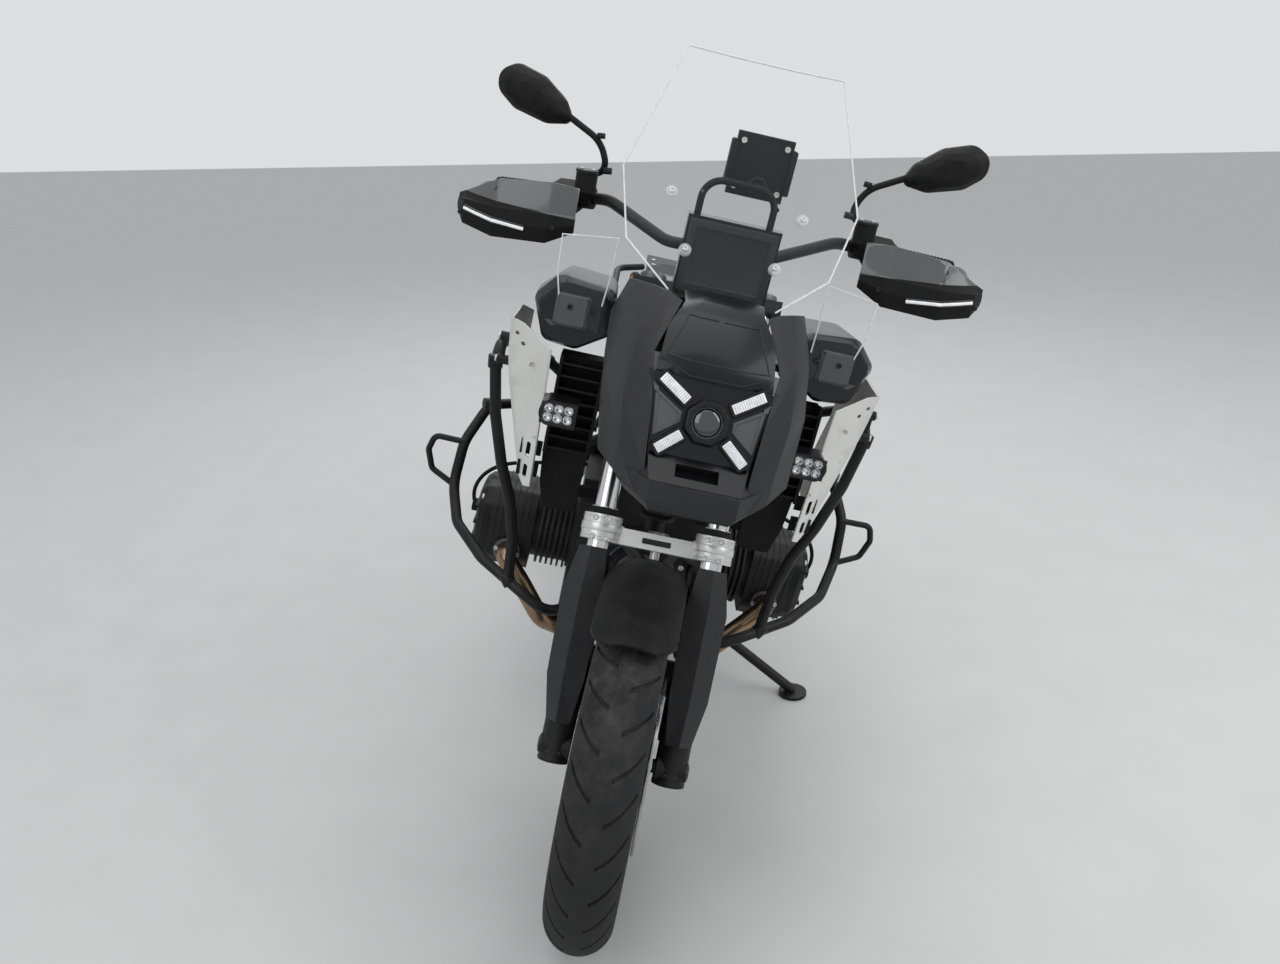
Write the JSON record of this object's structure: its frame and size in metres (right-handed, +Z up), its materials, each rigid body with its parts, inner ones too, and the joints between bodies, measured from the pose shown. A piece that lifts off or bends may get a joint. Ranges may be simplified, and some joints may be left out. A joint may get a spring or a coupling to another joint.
{
  "type": "adventure motorcycle",
  "caption": "Adventure motorcycle with a flat twin engine, tall clear screen, hand guards, crash bars, cross-shaped headlamp and luggage rack, leaning on its side stand.",
  "frame": {"origin": "below the middle of the leaning motorcycle's outer box, on the ground", "axes": "+Z up, front wheel towards -Y, the rider's left and the side stand towards +X"},
  "size_m": [1.0977, 2.2083, 1.4816],
  "materials": {
    "frame_paint": "satin black",
    "black_metal": "satin black",
    "tyre": "matt",
    "wheel": "satin black",
    "disc": "brushed",
    "fork_tube": "polished",
    "silver": "satin",
    "cast_dark": "satin",
    "bronzed": "heat tinted",
    "rubber": "matt",
    "matt_black": "matt",
    "grey_plastic": "matt",
    "dark_gloss": "gloss",
    "clear": "clear",
    "lamp_glass": "clear",
    "seat_cover": "grained"
  },
  "bodies": {
    "front_wheel": {"front_tyre": "tyre", "front_rim": "wheel", "front_discs": "disc"},
    "rear_wheel": {"rear_tyre": "tyre", "rear_rim": "wheel", "rear_disc": "disc"},
    "steering": {"fork_sliders": "black_metal", "fork_tubes": "fork_tube", "fork_bridge": "silver", "handlebar": "black_metal", "grip_left": "rubber", "grip_right": "rubber", "hand_guard_left": "matt_black", "hand_guard_right": "matt_black", "mirror_left": "matt_black", "mirror_right": "matt_black", "front_mudguard": "matt_black", "fork_guards": "grey_plastic", "front_calipers": "black_metal"},
    "chassis": {"cylinders": "cast_dark", "head_covers": "black_metal", "exhaust": "bronzed", "skid_plate": "silver", "swing_arm": "cast_dark", "final_drive": "cast_dark", "front_arm": "cast_dark", "front_strut": "black_metal", "rear_strut": "black_metal", "fuel_tank": "dark_gloss", "main_frame": "frame_paint", "tank_wing_left": "dark_gloss", "tank_wing_right": "dark_gloss", "radiator_left": "matt_black", "radiator_right": "matt_black", "side_panel_left": "silver", "side_panel_right": "silver", "aux_lamp_left": "lamp_glass", "aux_lamp_right": "lamp_glass", "side_fairings": "grey_plastic", "beak": "grey_plastic", "headlamp": "lamp_glass", "nose_panel": "dark_gloss", "windscreen": "clear", "display": "matt_black", "device_holder": "matt_black", "rider_seat": "seat_cover", "passenger_seat": "seat_cover", "rear_frame": "frame_paint", "rear_rack": "black_metal", "tail_unit": "matt_black", "foot_pegs": "silver", "crash_bar_left": "black_metal", "crash_bar_right": "black_metal", "engine_block": "cast_dark"},
    "side_stand": {"side_stand": "black_metal"}
  },
  "joints": [
    {"name": "steering", "type": "hinge", "parent": "chassis", "child": "steering", "pos_m": [-0.13222, -0.7422, 0.30117], "axis": [0.2064, 0.4415, 0.8732], "range_deg": [-28.6, 41.4]},
    {"name": "front_wheel", "type": "hinge", "parent": "steering", "child": "front_wheel", "pos_m": [-0.13254, -0.78054, 0.32064], "axis": [0.9784, -0.1, -0.1807], "continuous": true},
    {"name": "rear_wheel", "type": "hinge", "parent": "chassis", "child": "rear_wheel", "pos_m": [-0.12972, 0.73721, 0.31175], "axis": [0.9732, 0, -0.23], "continuous": true},
    {"name": "side_stand", "type": "hinge", "parent": "chassis", "child": "side_stand", "pos_m": [0.02425, -0.05878, 0.2154], "axis": [0.6581, 0.021, 0.7526], "range_deg": [0, 91.7]}
  ]
}
